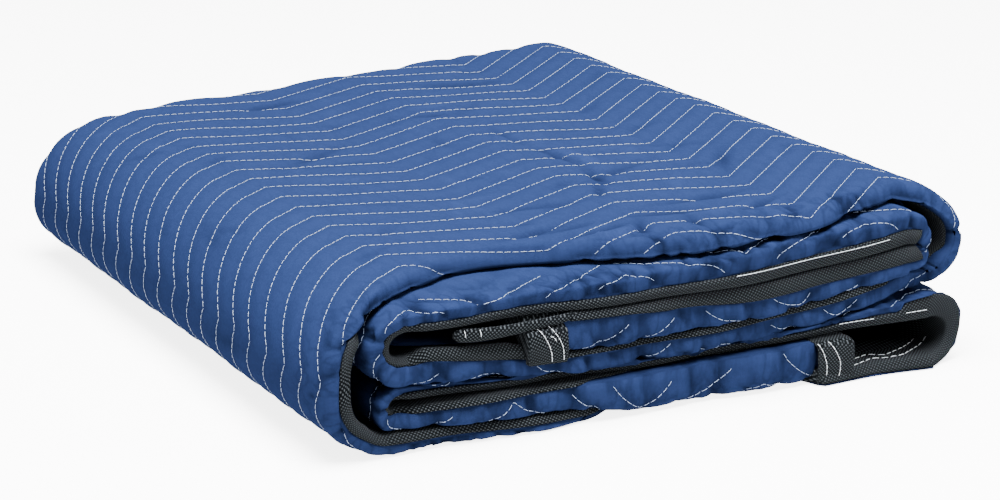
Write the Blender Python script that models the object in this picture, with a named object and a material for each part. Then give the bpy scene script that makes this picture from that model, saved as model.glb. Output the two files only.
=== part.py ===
"""A quilted moving blanket, folded back and forth into seven layers and bound in black tape.

The blanket is one padded sheet. Its fold line is drawn in the XZ plane, seen from the front:
each layer runs left or right between two surfaces, and each fold is a round end that joins two
layers. That line is swept from the front edge to the back edge. +X runs along the front, +Y to
the back, +Z up, and the origin is on the floor under the middle of the pile.
"""

import math
from collections import namedtuple

import bmesh
import bpy

MM = 0.001

# Driving sizes, in millimetres
PILE_WIDTH = 452.0
PILE_DEPTH = 516.0
BACK_RISE = 0.045  # how much taller the pile is at its back left corner
TAPE_WIDTH = 36.0
TAPE_THICKNESS = 1.6
TAPE_FRONT_HEIGHT = 8.0  # how much of a thick layer's edge the tape covers
TAPE_FRONT_SHARE = 0.58  # the same on a thin layer, as a share of its thickness
TAPE_CORNER = 2.0  # the tape's rounded outer corner
PIECE_GAP = 0.4
HEM_CAP_LENGTH = 27.0
CAP_CORNER = 2.0
EDGE_NOSE = 0.8  # how far the rounded edge reaches back, as a share of its height
EDGE_WAVE = 1.6
EDGE_WAVE_LENGTH = 98.0
STATION_SPACING = 45.0
FOLD_STEPS = 8
NOSE_STEPS = 4
EDGE_DRIFT = 0.6  # under 1, the edges reach a fold's own set-back early in its turn
BACK_PHASE = 2.0  # how far the back edge's waves are shifted from the front edge's

# Where the layer tables give their values, from left to right
KNOTS = (-180.0, -90.0, 0.0, 90.0, 180.0)

Layer = namedtuple("Layer", "name start end low high bound_side front back")
Fold = namedtuple("Fold", "name reach height thickness outer_square bound_square front back")

# One row for each layer, in the order of the cloth. low and high are the heights of its two
# faces at the knots, front and back are how far its edges stand back from the pile's box.
LAYERS = (
    Layer("inner", -92.0, 184.0,
          (57.0, 47.8, 46.8, 50.8, 61.8), (72.0, 71.5, 70.8, 72.3, 79.0), "high",
          (10.0, 9.0, 9.0, 9.0, 12.0), (14.0, 12.0, 10.0, 9.0, 10.0)),
    Layer("under_top", 184.0, -168.0,
          (74.0, 72.3, 71.6, 73.1, 79.8), (86.5, 88.0, 91.0, 96.5, 101.5), "low",
          (10.0, 13.0, 8.0, 8.0, 12.0), (9.0, 8.0, 7.0, 8.0, 9.0)),
    Layer("middle", -168.0, 187.0,
          (41.8, 34.8, 32.2, 34.8, 46.6), (58.0, 47.0, 46.0, 50.0, 61.0), "high",
          (11.0, 12.0, 13.0, 13.0, 13.0), (8.0, 7.0, 6.0, 6.0, 6.0)),
    Layer("top", 187.0, -166.0,
          (87.3, 88.8, 91.8, 97.3, 102.3), (98.0, 101.0, 105.0, 111.0, 116.0), "low",
          (34.0, 65.0, 38.0, 25.0, 38.0), (2.0, 1.0, 0.0, 0.0, 1.0)),
    Layer("bottom", -178.0, 198.0,
          (0.0, 0.0, 0.0, 0.0, 0.0), (13.0, 9.5, 6.6, 6.4, 8.0), "high",
          (14.0, 11.0, 13.0, 5.0, 1.5), (5.0, 4.0, 3.0, 3.0, 3.0)),
    Layer("hidden", 198.0, -175.0,
          (31.0, 28.3, 26.2, 27.8, 31.0), (41.0, 34.0, 31.5, 34.0, 45.4), "low",
          (16.0, 18.0, 18.0, 16.0, 8.0), (7.0, 8.0, 8.0, 7.0, 5.0)),
    Layer("lower", -175.0, 140.0,
          (13.7, 10.2, 7.3, 7.1, 8.6), (27.0, 27.5, 25.5, 27.1, 28.0), "high",
          (14.0, 9.0, 9.0, 8.0, 5.0), (10.0, 11.0, 10.0, 12.0, 12.0)),
)

# One row for each fold, after the layer of the same number. reach is the x of its outermost
# point and height where that point is, as a share of the way up. Squareness is 2 for an
# ellipse and more for a fuller shape, first for the outer face and then for the bound face.
FOLDS = (
    Fold("inner_right", 204.0, 0.5, 11.0, 2.2, 2.2, 12.0, 10.0),
    Fold("inner_left", -195.5, 0.5, 15.0, 2.2, 2.2, 11.0, 8.0),
    Fold("outer_right", 224.0, 0.43, 12.5, 2.2, 2.4, 13.0, 0.0),
    Fold("outer_left", -PILE_WIDTH / 2, 0.43, 13.5, 2.0, 2.5, 11.0, 0.0),
    Fold("lower_right", PILE_WIDTH / 2, 0.55, 11.0, 2.2, 2.2, 11.0, 3.0),
    Fold("lower_left", -189.0, 0.5, 10.0, 2.2, 2.2, 13.0, 8.0),
)

# Colour, roughness and metallic of each finish
QUILT_FINISH = ((0.055, 0.115, 0.290, 1.0), 0.62, 0.0)
TAPE_FINISH = ((0.020, 0.020, 0.022, 1.0), 0.75, 0.0)

# A station is one cut across the sheet: the points of its bound face and of its outer face in
# the XZ plane, and where its front and back edges are.
Station = namedtuple("Station", "bound outer front back")


def between_knots(values, x):
    """A smooth curve through a value at each knot, going on straight past the last ones."""
    if x <= KNOTS[0] or x >= KNOTS[-1]:
        i = 0 if x <= KNOTS[0] else len(KNOTS) - 2
        slope = (values[i + 1] - values[i]) / (KNOTS[i + 1] - KNOTS[i])
        end = 0 if x <= KNOTS[0] else -1
        return values[end] + slope * (x - KNOTS[end])
    i = max(k for k in range(len(KNOTS) - 1) if KNOTS[k] <= x)
    before = values[i - 1] if i > 0 else 2 * values[i] - values[i + 1]
    after = values[i + 2] if i + 2 < len(KNOTS) else 2 * values[i + 1] - values[i]
    u = (x - KNOTS[i]) / (KNOTS[i + 1] - KNOTS[i])
    leaving = (values[i + 1] - before) / 2
    arriving = (after - values[i]) / 2
    rise = values[i + 1] - values[i]
    curve = (3 * u**2 - 2 * u**3) * rise
    return values[i] + curve + (u - 2 * u**2 + u**3) * leaving + (u**3 - u**2) * arriving


def edge_wave(x, phase):
    return EDGE_WAVE * (1 + math.sin(2 * math.pi * x / EDGE_WAVE_LENGTH + phase))


def layer_station(layer, number, x):
    low = (x, between_knots(layer.low, x))
    high = (x, between_knots(layer.high, x))
    bound, outer = (low, high) if layer.bound_side == "low" else (high, low)
    front = between_knots(layer.front, x) + edge_wave(x, number)
    back = between_knots(layer.back, x) + edge_wave(x, number + BACK_PHASE)
    return Station(bound, outer, max(front, 0.0), max(back, 0.0))


def layer_stations(layer, number):
    count = max(2, round(abs(layer.end - layer.start) / STATION_SPACING))
    step = (layer.end - layer.start) / count
    return [layer_station(layer, number, layer.start + step * i) for i in range(count + 1)]


def round_end(first, last, reach, height, squareness, turn):
    """A point of the rounded end from first out to its reach and back to last, turn being 0 to 1."""
    level = min(first[1], last[1]) + height * abs(first[1] - last[1])
    start = first if turn < 0.5 else last
    out = math.sin(math.pi * turn) ** (2 / squareness)
    away = abs(math.cos(math.pi * turn)) ** (2 / squareness)
    return (start[0] + (reach - start[0]) * out, level + (start[1] - level) * away)


def fold_stations(fold, first, last):
    """The stations inside a fold, between the last one of a layer and the first of the next."""
    side = math.copysign(1, fold.reach)
    inner_reach = fold.reach - side * fold.thickness
    stations = []
    for i in range(1, FOLD_STEPS):
        turn = i / FOLD_STEPS
        outer = round_end(first.outer, last.outer, fold.reach, fold.height, fold.outer_square, turn)
        bound = round_end(first.bound, last.bound, inner_reach, fold.height, fold.bound_square, turn)
        out = math.sin(math.pi * turn) ** EDGE_DRIFT
        near = first if turn < 0.5 else last
        front = near.front + (fold.front - near.front) * out
        back = near.back + (fold.back - near.back) * out
        stations.append(Station(bound, outer, front, back))
    return stations


def cloth_stations():
    """Every station of the cloth, from the hem inside the pile to the hem at the lower right."""
    runs = [layer_stations(layer, number) for number, layer in enumerate(LAYERS)]
    stations = list(runs[0])
    for fold, before, after in zip(FOLDS, runs, runs[1:]):
        stations += fold_stations(fold, before[-1], after[0]) + after
    return stations


def thickness(station):
    return math.dist(station.bound, station.outer)


def tape_height(station):
    return min(TAPE_FRONT_HEIGHT, TAPE_FRONT_SHARE * thickness(station))


def place(station, depth, y):
    """The point at this depth under the bound face, in metres, with the rise at the back left."""
    share = depth / thickness(station)
    x = station.bound[0] + (station.outer[0] - station.bound[0]) * share
    z = station.bound[1] + (station.outer[1] - station.bound[1]) * share
    rise = 1 + BACK_RISE * (0.5 + y / PILE_DEPTH) * (0.5 - x / PILE_WIDTH)
    return (x * MM, y * MM, z * rise * MM)


def edge_y(station, side, inset):
    """The y of a point this far in from an edge: side is -1 at the front and 1 at the back."""
    stand_back = station.front if side < 0 else station.back
    return side * (PILE_DEPTH / 2 - stand_back - inset)


def panel_edge(station, side):
    """The panel's section along one edge, from its bound face round to its outer face."""
    recess = TAPE_THICKNESS + PIECE_GAP
    full = thickness(station)
    tape = tape_height(station)
    tape_end = TAPE_WIDTH + PIECE_GAP
    points = [(0.0, tape_end), (recess, tape_end), (recess, recess), (tape + PIECE_GAP, recess)]
    nose_start = tape + PIECE_GAP
    nose_height = full - nose_start
    for i in range(NOSE_STEPS + 1):
        angle = math.pi / 2 * i / NOSE_STEPS
        depth = nose_start + nose_height * math.sin(angle)
        points.append((depth, EDGE_NOSE * nose_height * (1 - math.cos(angle))))
    return [place(station, depth, edge_y(station, side, inset)) for depth, inset in points]


def panel_ring(station):
    """The whole section of the panel: round the front edge, then back round the other edge."""
    return panel_edge(station, -1) + panel_edge(station, 1)[::-1]


def hem_ring(station, shrink):
    """The panel's section inside a hem cap, with as many points as its other sections."""
    full = thickness(station)
    count = NOSE_STEPS + 5
    front = []
    back = []
    for i in range(count):
        depth = shrink + (full - 2 * shrink) * i / (count - 1)
        front.append(place(station, depth, edge_y(station, -1, shrink)))
        back.append(place(station, depth, edge_y(station, 1, shrink)))
    return front + back[::-1]


def tape_ring(station, side):
    """The tape's section: an angle that covers the bound face's rim and part of the edge."""
    tape = tape_height(station)
    corner = TAPE_CORNER
    points = (
        (0.0, TAPE_WIDTH), (0.0, corner), (corner / 3, corner / 3), (corner, 0.0), (tape, 0.0),
        (tape, TAPE_THICKNESS), (TAPE_THICKNESS, TAPE_THICKNESS), (TAPE_THICKNESS, TAPE_WIDTH),
    )
    ring = [place(station, depth, edge_y(station, side, inset)) for depth, inset in points]
    return ring if side < 0 else ring[::-1]


def cap_ring(station, inset):
    """A rounded section of a hem cap, this far in from the panel's full section."""
    full = thickness(station)
    corner = CAP_CORNER if inset == 0 else PIECE_GAP
    points = []
    for side in (-1, 1):
        run = (
            (inset, inset + corner), (inset + corner, inset),
            (full - inset - corner, inset), (full - inset, inset + corner),
        )
        points += [(depth, side, across) for depth, across in (run if side < 0 else run[::-1])]
    return [place(station, depth, edge_y(station, side, across)) for depth, side, across in points]


def loft(name, rings, material, collection):
    """One closed solid through rings of points, capped at its two ends."""
    shape = bmesh.new()
    loops = [[shape.verts.new(point) for point in ring] for ring in rings]
    for near, far in zip(loops, loops[1:]):
        for i in range(len(near)):
            j = (i + 1) % len(near)
            shape.faces.new((near[i], near[j], far[j], far[i]))
    shape.faces.new(loops[0][::-1])
    shape.faces.new(loops[-1])
    bmesh.ops.triangulate(shape, faces=list(shape.faces))
    bmesh.ops.recalc_face_normals(shape, faces=list(shape.faces))
    mesh = bpy.data.meshes.new(name)
    shape.to_mesh(mesh)
    shape.free()
    mesh.shade_smooth()
    mesh.set_sharp_from_angle(angle=math.radians(40))
    mesh.materials.append(material)
    piece = bpy.data.objects.new(name, mesh)
    collection.objects.link(piece)
    return piece


def finish(name, settings):
    colour, roughness, metallic = settings
    material = bpy.data.materials.new(name)
    material.use_nodes = True
    shader = material.node_tree.nodes["Principled BSDF"]
    shader.inputs["Base Color"].default_value = colour
    shader.inputs["Roughness"].default_value = roughness
    shader.inputs["Metallic"].default_value = metallic
    return material


def station_on(number, x):
    return layer_station(LAYERS[number], number, x)


def beside_hem(number, hem, inwards, distance):
    """The station this far in from a hem, inwards being the x direction away from it."""
    return station_on(number, hem + inwards * distance)


def inside_cap(station, index, count):
    """Whether a station is one of the first or last few and lies inside a hem cap."""
    x = station.bound[0]
    reach = HEM_CAP_LENGTH + 4 * PIECE_GAP
    by_first = index < 3 and x < LAYERS[0].start + reach
    by_last = index > count - 4 and x > LAYERS[-1].end - reach
    return by_first or by_last


def body_stations():
    """The cloth's stations that are clear of both hem caps."""
    stations = cloth_stations()[1:-1]
    return [s for i, s in enumerate(stations) if not inside_cap(s, i, len(stations))]


def build_panel(body, material, collection):
    """The quilted panel, narrower inside its two hem caps."""
    recess = TAPE_THICKNESS + PIECE_GAP
    neck = HEM_CAP_LENGTH + PIECE_GAP
    ends = []
    for number, hem, inwards in ((0, LAYERS[0].start, 1), (len(LAYERS) - 1, LAYERS[-1].end, -1)):
        tip = hem_ring(beside_hem(number, hem, inwards, recess), recess)
        waist = hem_ring(beside_hem(number, hem, inwards, neck), recess)
        full = panel_ring(beside_hem(number, hem, inwards, neck + PIECE_GAP))
        ends.append([tip, waist, full])
    first, last = ends
    rings = first + [panel_ring(s) for s in body] + last[::-1]
    loft("quilted_panel", rings, material, collection)


def build_tape(name, side, body, material, collection):
    """The tape along one edge, from just outside one hem cap to just outside the other."""
    start = HEM_CAP_LENGTH + 3 * PIECE_GAP
    first = beside_hem(0, LAYERS[0].start, 1, start)
    last = beside_hem(len(LAYERS) - 1, LAYERS[-1].end, -1, start)
    rings = [tape_ring(s, side) for s in [first] + body + [last]]
    loft(name, rings, material, collection)


def build_cap(name, number, hem, inwards, material, collection):
    """A tape folded over a hem: open towards the panel, with its corner folded round each edge."""
    mouth = beside_hem(number, hem, inwards, HEM_CAP_LENGTH)
    shoulder = beside_hem(number, hem, inwards, TAPE_THICKNESS)
    end = station_on(number, hem)
    rings = [
        cap_ring(shoulder, TAPE_THICKNESS), cap_ring(mouth, TAPE_THICKNESS),
        cap_ring(mouth, 0.0), cap_ring(shoulder, 0.0), cap_ring(end, TAPE_THICKNESS),
    ]
    loft(name, rings, material, collection)


def main():
    for old in list(bpy.data.objects):
        bpy.data.objects.remove(old, do_unlink=True)
    collection = bpy.data.collections.new("moving_blanket")
    bpy.context.scene.collection.children.link(collection)
    quilt = finish("quilted_cloth", QUILT_FINISH)
    tape = finish("woven_tape", TAPE_FINISH)

    body = body_stations()
    build_panel(body, quilt, collection)
    build_tape("binding_front", -1, body, tape, collection)
    build_tape("binding_back", 1, body, tape, collection)
    last = len(LAYERS) - 1
    build_cap("binding_end_inner", 0, LAYERS[0].start, 1, tape, collection)
    build_cap("binding_end_lower", last, LAYERS[-1].end, -1, tape, collection)


main()
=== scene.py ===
# %% [markdown]
# A quilted moving blanket, folded into a flat pile
#
# The real blanket is two faces of smooth polyester cloth with batting between them. A machine
# with many needles sews zigzag lines through all three, and a black tape is folded over the
# rim and sewn down. It is folded back and forth into a pile, and the long edges of its layers
# face us.
#
# The imported part has the pile's true folds as plain solids. Here we keep those sizes, and build
# the same folded sheet again with many more points, so that it can carry the quilting, the
# creases and the thread. The script is a lesson: each cell makes one thing, and the text before
# it says what that thing is on the real blanket and why it is made this way.
#
# We start by loading the imported part into the shared frame.

# %% Imported part
import math
from collections import namedtuple

import bpy
import numpy as np
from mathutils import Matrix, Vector
from mathutils.bvhtree import BVHTree


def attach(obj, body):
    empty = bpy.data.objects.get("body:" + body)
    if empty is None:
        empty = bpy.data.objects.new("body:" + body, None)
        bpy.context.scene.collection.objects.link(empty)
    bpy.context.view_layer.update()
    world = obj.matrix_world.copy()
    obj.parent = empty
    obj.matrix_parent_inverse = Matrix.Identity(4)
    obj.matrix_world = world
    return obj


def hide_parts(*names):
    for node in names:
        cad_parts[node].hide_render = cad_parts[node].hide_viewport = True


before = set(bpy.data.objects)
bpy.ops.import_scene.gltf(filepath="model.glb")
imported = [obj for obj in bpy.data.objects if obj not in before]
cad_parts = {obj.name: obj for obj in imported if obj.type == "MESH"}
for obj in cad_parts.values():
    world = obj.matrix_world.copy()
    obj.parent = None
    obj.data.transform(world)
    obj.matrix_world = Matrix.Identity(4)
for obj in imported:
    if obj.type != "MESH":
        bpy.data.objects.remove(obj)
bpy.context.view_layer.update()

MM = 0.001

# %% [markdown]
# The fold line, drawn from the front
#
# A folded sheet could be simulated as falling cloth, but the folds would land where the solver
# puts them. We want the folds of this pile, so we describe its fold line in the XZ plane. Each
# layer is a run between a low and a high surface, given at five places from left to right, and
# each fold is a round end that joins two layers. front and back say how far the layer's edges
# stand back from the box of the pile, because a hand folded pile never has its edges in line.
# The top layer's edge is drawn a little further out than the solid's, because padding swells
# over the edge when it is rolled under, and the big right fold bulges for the same reason.

# %% Sizes, in millimetres
PILE_WIDTH = 452.0
PILE_DEPTH = 516.0
BACK_RISE = 0.045  # the pile is this share taller at its back left corner
TAPE_WIDTH = 36.0
TAPE_THICKNESS = 1.6
TAPE_FRONT_HEIGHT = 8.0
TAPE_FRONT_SHARE = 0.58  # at the back, the tape covers at most this share of the edge
PIECE_GAP = 0.4
HEM_CAP_LENGTH = 27.0
EDGE_NOSE = 0.8  # a soft edge curves back by this share of its height
FULL_NOSE = 0.42  # an edge full of padding is blunter
EDGE_WAVE = 1.6
EDGE_WAVE_LENGTH = 98.0
EDGE_DRIFT = 0.6
BACK_PHASE = 2.0
KNOTS = (-180.0, -90.0, 0.0, 90.0, 180.0)

Layer = namedtuple("Layer", "name start end low high bound_side front back")
Fold = namedtuple("Fold", "name reach height thickness outer_square bound_square front back")

LAYERS = (
    Layer("inner", -92.0, 184.0,
          (57.0, 47.8, 46.8, 50.8, 61.8), (72.0, 71.5, 70.8, 72.3, 79.0), "high",
          (10.0, 9.0, 9.0, 9.0, 12.0), (14.0, 12.0, 10.0, 9.0, 10.0)),
    Layer("under_top", 184.0, -168.0,
          (74.0, 72.3, 71.6, 73.1, 79.8), (86.5, 88.0, 91.0, 96.5, 101.5), "low",
          (10.0, 13.0, 8.0, 8.0, 12.0), (9.0, 8.0, 7.0, 8.0, 9.0)),
    Layer("middle", -168.0, 187.0,
          (41.8, 34.8, 32.2, 34.8, 46.6), (58.0, 47.0, 46.0, 50.0, 61.0), "high",
          (11.0, 12.0, 13.0, 13.0, 13.0), (8.0, 7.0, 6.0, 6.0, 6.0)),
    Layer("top", 187.0, -166.0,
          (87.3, 88.8, 91.8, 97.3, 102.3), (98.0, 101.0, 105.0, 111.0, 116.0), "low",
          (34.0, 62.0, 25.0, 11.0, 32.0), (2.0, 1.0, 0.0, 0.0, 1.0)),
    Layer("bottom", -178.0, 198.0,
          (0.0, 0.0, 0.0, 0.0, 0.0), (13.0, 9.5, 6.6, 6.4, 8.0), "high",
          (14.0, 11.0, 13.0, 5.0, 1.5), (5.0, 4.0, 3.0, 3.0, 3.0)),
    Layer("hidden", 198.0, -175.0,
          (31.0, 28.3, 26.2, 27.8, 31.0), (41.0, 34.0, 31.5, 34.0, 45.4), "low",
          (16.0, 18.0, 18.0, 16.0, 8.0), (7.0, 8.0, 8.0, 7.0, 5.0)),
    Layer("lower", -175.0, 140.0,
          (13.7, 10.2, 7.3, 7.1, 8.6), (27.0, 27.5, 25.5, 27.1, 28.0), "high",
          (14.0, 9.0, 9.0, 8.0, 5.0), (10.0, 11.0, 10.0, 12.0, 12.0)),
)
FOLDS = (
    Fold("inner_right", 204.0, 0.5, 11.0, 2.2, 2.2, 12.0, 10.0),
    Fold("inner_left", -195.5, 0.5, 15.0, 2.2, 2.2, 11.0, 8.0),
    Fold("outer_right", 229.5, 0.43, 13.5, 2.2, 2.4, 11.0, 0.0),
    Fold("outer_left", -PILE_WIDTH / 2, 0.43, 13.5, 2.0, 2.5, 11.0, 0.0),
    Fold("lower_right", PILE_WIDTH / 2, 0.55, 11.0, 2.2, 2.2, 11.0, 3.0),
    Fold("lower_left", -189.0, 0.5, 10.0, 2.2, 2.2, 13.0, 8.0),
)
print(len(LAYERS), "layers and", len(FOLDS), "folds")

# %% [markdown]
# Stations along the cloth
#
# A station is one cut across the sheet. Walking along the fold line from hem to hem, we place
# one every few millimetres, closer together round the folds. The rest of the script finds
# everything by its station and by how far across the cloth it is, so a stitch, a wrinkle and
# the weave all stay with the cloth when it turns round a fold.

# %% Smooth curves
def smooth(low, high, value):
    """0 below low, 1 above high and a soft rise between them."""
    t = min(max((value - low) / (high - low), 0.0), 1.0)
    return t * t * (3 - 2 * t)


def between_knots(values, x):
    """A smooth curve through a value at each knot, going on straight past the last ones."""
    if x <= KNOTS[0] or x >= KNOTS[-1]:
        i = 0 if x <= KNOTS[0] else len(KNOTS) - 2
        slope = (values[i + 1] - values[i]) / (KNOTS[i + 1] - KNOTS[i])
        end = 0 if x <= KNOTS[0] else -1
        return values[end] + slope * (x - KNOTS[end])
    i = max(k for k in range(len(KNOTS) - 1) if KNOTS[k] <= x)
    before = values[i - 1] if i > 0 else 2 * values[i] - values[i + 1]
    after = values[i + 2] if i + 2 < len(KNOTS) else 2 * values[i + 1] - values[i]
    u = (x - KNOTS[i]) / (KNOTS[i + 1] - KNOTS[i])
    leaving = (values[i + 1] - before) / 2
    arriving = (after - values[i]) / 2
    rise = values[i + 1] - values[i]
    curve = (3 * u**2 - 2 * u**3) * rise
    return values[i] + curve + (u - 2 * u**2 + u**3) * leaving + (u**3 - u**2) * arriving


def edge_wave(x, phase):
    return EDGE_WAVE * (1 + math.sin(2 * math.pi * x / EDGE_WAVE_LENGTH + phase))


for layer in LAYERS:
    print(layer.name, "is", round(between_knots(layer.high, 0.0), 1), "mm up in the middle")

# %% A station on a layer
Station = namedtuple("Station", "part share bound outer front back seen")
EXPOSED = {"top", "outer_right", "outer_left", "lower_right"}

# The bottom layer's front edge stands further back between these two stretches
BOTTOM_STAND_BACK = 20.0
STAND_BACK_FROM = (-50.0, -8.0)
STAND_BACK_TO = (106.0, 116.0)


def thickness(station):
    return math.dist(station.bound, station.outer)


def layer_station(number, x):
    """The cut across one layer at x."""
    layer = LAYERS[number]
    low = (x, between_knots(layer.low, x))
    high = (x, between_knots(layer.high, x))
    bound, outer = (low, high) if layer.bound_side == "low" else (high, low)
    front = max(between_knots(layer.front, x) + edge_wave(x, number), 0.0)
    if layer.name == "bottom":
        front += BOTTOM_STAND_BACK * smooth(*STAND_BACK_FROM, x) * (1 - smooth(*STAND_BACK_TO, x))
    back = max(between_knots(layer.back, x) + edge_wave(x, number + BACK_PHASE), 0.0)
    return Station(layer.name, x, bound, outer, front, back, layer.name in EXPOSED)


def inside_cap(station):
    """The sheet is thinner and shorter where a hem tape is folded over its end."""
    first = station.part == "inner" and station.share < LAYERS[0].start + HEM_CAP_LENGTH
    last = station.part == "lower" and station.share > LAYERS[-1].end - HEM_CAP_LENGTH
    if not (first or last):
        return station
    inset = TAPE_THICKNESS + PIECE_GAP
    x = min(max(station.share, LAYERS[0].start + inset), LAYERS[-1].end - inset)
    thin = inset / thickness(station)
    bound, outer = station.bound, station.outer
    rise = outer[1] - bound[1]
    return station._replace(
        share=x, bound=(x, bound[1] + rise * thin), outer=(x, outer[1] - rise * thin),
        front=station.front + inset, back=station.back + inset,
    )


print("the inner layer is", round(thickness(layer_station(0, 0.0)), 1), "mm thick in the middle")

# %% A station in a fold
def round_end(first, last, reach, height, squareness, turn):
    """A place on the round end from the first layer to the last, turn going from 0 to 1."""
    level = min(first[1], last[1]) + height * abs(first[1] - last[1])
    start = first if turn < 0.5 else last
    out = math.sin(math.pi * turn) ** (2 / squareness)
    away = abs(math.cos(math.pi * turn)) ** (2 / squareness)
    return (start[0] + (reach - start[0]) * out, level + (start[1] - level) * away)


def fold_station(fold, first, last, turn):
    """The cut across a fold, turn going from 0 at its first layer to 1 at its last."""
    side = math.copysign(1, fold.reach)
    inner_reach = fold.reach - side * fold.thickness
    outer = round_end(first.outer, last.outer, fold.reach, fold.height, fold.outer_square, turn)
    bound = round_end(first.bound, last.bound, inner_reach, fold.height, fold.bound_square, turn)
    out = math.sin(math.pi * turn) ** EDGE_DRIFT
    near = first if turn < 0.5 else last
    front = near.front + (fold.front - near.front) * out
    back = near.back + (fold.back - near.back) * out
    return Station(fold.name, turn, bound, outer, front, back, fold.name in EXPOSED)


for fold in FOLDS:
    print(fold.name, "reaches x", fold.reach, "and is", fold.thickness, "mm thick")

# %% The fold line
SEEN_STEP = 3.2
HIDDEN_STEP = 3.4
FOLD_STEP = 2.2
FOLD_DEPTH = 30.0  # how far a fold reaches past the ends of its two layers, roughly


def all_stations():
    """Every station in order, from the inner hem to the lower one."""
    stations = []
    for number, layer in enumerate(LAYERS):
        step = SEEN_STEP if layer.name in EXPOSED else HIDDEN_STEP
        count = round(abs(layer.end - layer.start) / step)
        places = np.linspace(layer.start, layer.end, count + 1)
        stations += [inside_cap(layer_station(number, float(x))) for x in places]
        if number < len(FOLDS):
            fold = FOLDS[number]
            first, last = stations[-1], layer_station(number + 1, LAYERS[number + 1].start)
            height = abs(first.outer[1] - last.outer[1])
            step = SEEN_STEP if fold.name in EXPOSED else FOLD_STEP
            length_round = 1.9 * (height / 2 + FOLD_DEPTH)
            count = round(length_round / step)
            turns = [i / count for i in range(1, count)]
            stations += [fold_station(fold, first, last, turn) for turn in turns]
    return stations


STATIONS = all_stations()
outer_line = np.array([s.outer for s in STATIONS])
steps = np.linalg.norm(np.diff(outer_line, axis=0), axis=1)
ALONG = np.concatenate([[0.0], np.cumsum(steps)])
print(len(STATIONS), "stations along", round(float(ALONG[-1])), "mm of cloth")

# %% [markdown]
# The front edges
#
# The front edges need the most care, because the photo looks straight at them. The tape isn't
# the same height everywhere: in some places the padding of the layer above hangs over it, in
# the upper pocket it is pushed up, at the folds it is rolled under so that only blue shows, and
# at the lower right the whole edge is tape. A short table lists this for each layer.

# %% What shows of the front edges
# At an x of a layer, or at a share of a fold: how far the tape is pushed past the face that it is
# folded over, how tall it is, how far the padding hangs past the other face, and how far the edge
# is rolled under so that blue cloth hides the tape (0 to 1). A very tall tape covers all of it.
WHOLE = 99
Edge = namedtuple("Edge", "at push tape hang rolled")
FRONT_EDGES = {
    "inner": (
        Edge(-92, 0, 5, 2, 0), Edge(-30, 0, 5, 2, 0), Edge(10, 0, 7.5, 1, 0),
        Edge(71, 0, 10.5, 2, 0), Edge(184, 0, 10.5, 2, 0),
    ),
    "inner_right": (
        Edge(0.22, 0, 10.5, 0, 0), Edge(0.38, 0, 6, 0, 0.85), Edge(0.62, 0, 6, 0, 0.85),
        Edge(0.78, 0, 10, 0, 0),
    ),
    "under_top": (
        Edge(-168, 0, 6.5, 0, 0.2), Edge(-156, 0, 5, 0, 0), Edge(-90, 0, 6, 0, 0),
        Edge(20, 0, 7, 0, 0), Edge(75, 0, 9, 0, 0), Edge(184, 0, 10, 0, 0),
    ),
    "inner_left": (Edge(0, 0, 6.5, 0, 0.2), Edge(0.6, 1, 7, 0, 0.25), Edge(1, 3, 7, 0, 0.2)),
    "middle": (
        Edge(-168, 3, 7, 0, 0.2), Edge(-156, 9, 8, 0, 0), Edge(-100, 9, 9.5, 0, 0),
        Edge(-74, 1, 4, 1, 0), Edge(-50, 0, 2.4, 2, 0), Edge(-20, 0, 3.4, 1.5, 0),
        Edge(120, 0, 4.6, 1.5, 0), Edge(168, 0, 4, 0, 0), Edge(187, 0, 3, 0, 1),
    ),
    "outer_right": (
        Edge(0.0, 0, 6, 0, 1), Edge(0.3, 0, 6, 0, 1), Edge(0.45, 0, 6, 0, 0.65),
        Edge(0.6, 0, 6, 0, 0.65), Edge(0.8, 0, 6, 0, 1),
    ),
    "top": (
        Edge(112, 0, 6, 0, 1), Edge(128, 0, 6, 0, 0.78), Edge(158, 0, 6, 0, 0.78),
        Edge(172, 0, 6, 0, 1),
    ),
    "outer_left": (
        Edge(0.10, 0, 6, 0, 1), Edge(0.32, 7, 8, 0, 0), Edge(0.8, 6, 8, 0, 0), Edge(1, 0, 6, 0, 0),
    ),
    "bottom": (
        Edge(-178, 0, 6, 0, 0), Edge(-120, 0, 5, 0, 0), Edge(-60, 0, 4.5, 0, 0),
        Edge(100, 0, 4, 0, 0), Edge(114, 0, WHOLE, 0, 0),
    ),
    "lower_right": (Edge(0, 0, WHOLE, 0, 0),),
    "hidden": (
        Edge(-172, 0, 4.5, 0, 0.3), Edge(-162, 0, 5, 0, 0), Edge(0, 0, 4.5, 0, 0),
        Edge(120, 0, 5, 0, 0), Edge(176, 0, 7, 0, 0), Edge(198, 0, WHOLE, 0, 0),
    ),
    "lower_left": (Edge(0, 0, 4.5, 0, 0.3),),
    "lower": (
        Edge(-172, 0, 4.5, 0, 0.3), Edge(-162, 0, 4, 0, 0), Edge(-62, 0, 2.6, 0.5, 0),
        Edge(-36, 0, 2, 3.5, 0.7), Edge(-10, 0, 2, 6.3, 1), Edge(140, 0, 2, 6.6, 1),
    ),
}
print(sum(len(rows) for rows in FRONT_EDGES.values()), "places along the front edges")

# %% The tape on an edge
LEAST_NOSE = 0.6  # cloth that always shows past the tape
ROLLED_TAPE = 1.9  # height of the tape where the edge is rolled under
CORNER_TAPE = 34.0  # extra width inside the open corner at the lower right
CORNER_FROM = (104.0, 116.0)


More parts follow.
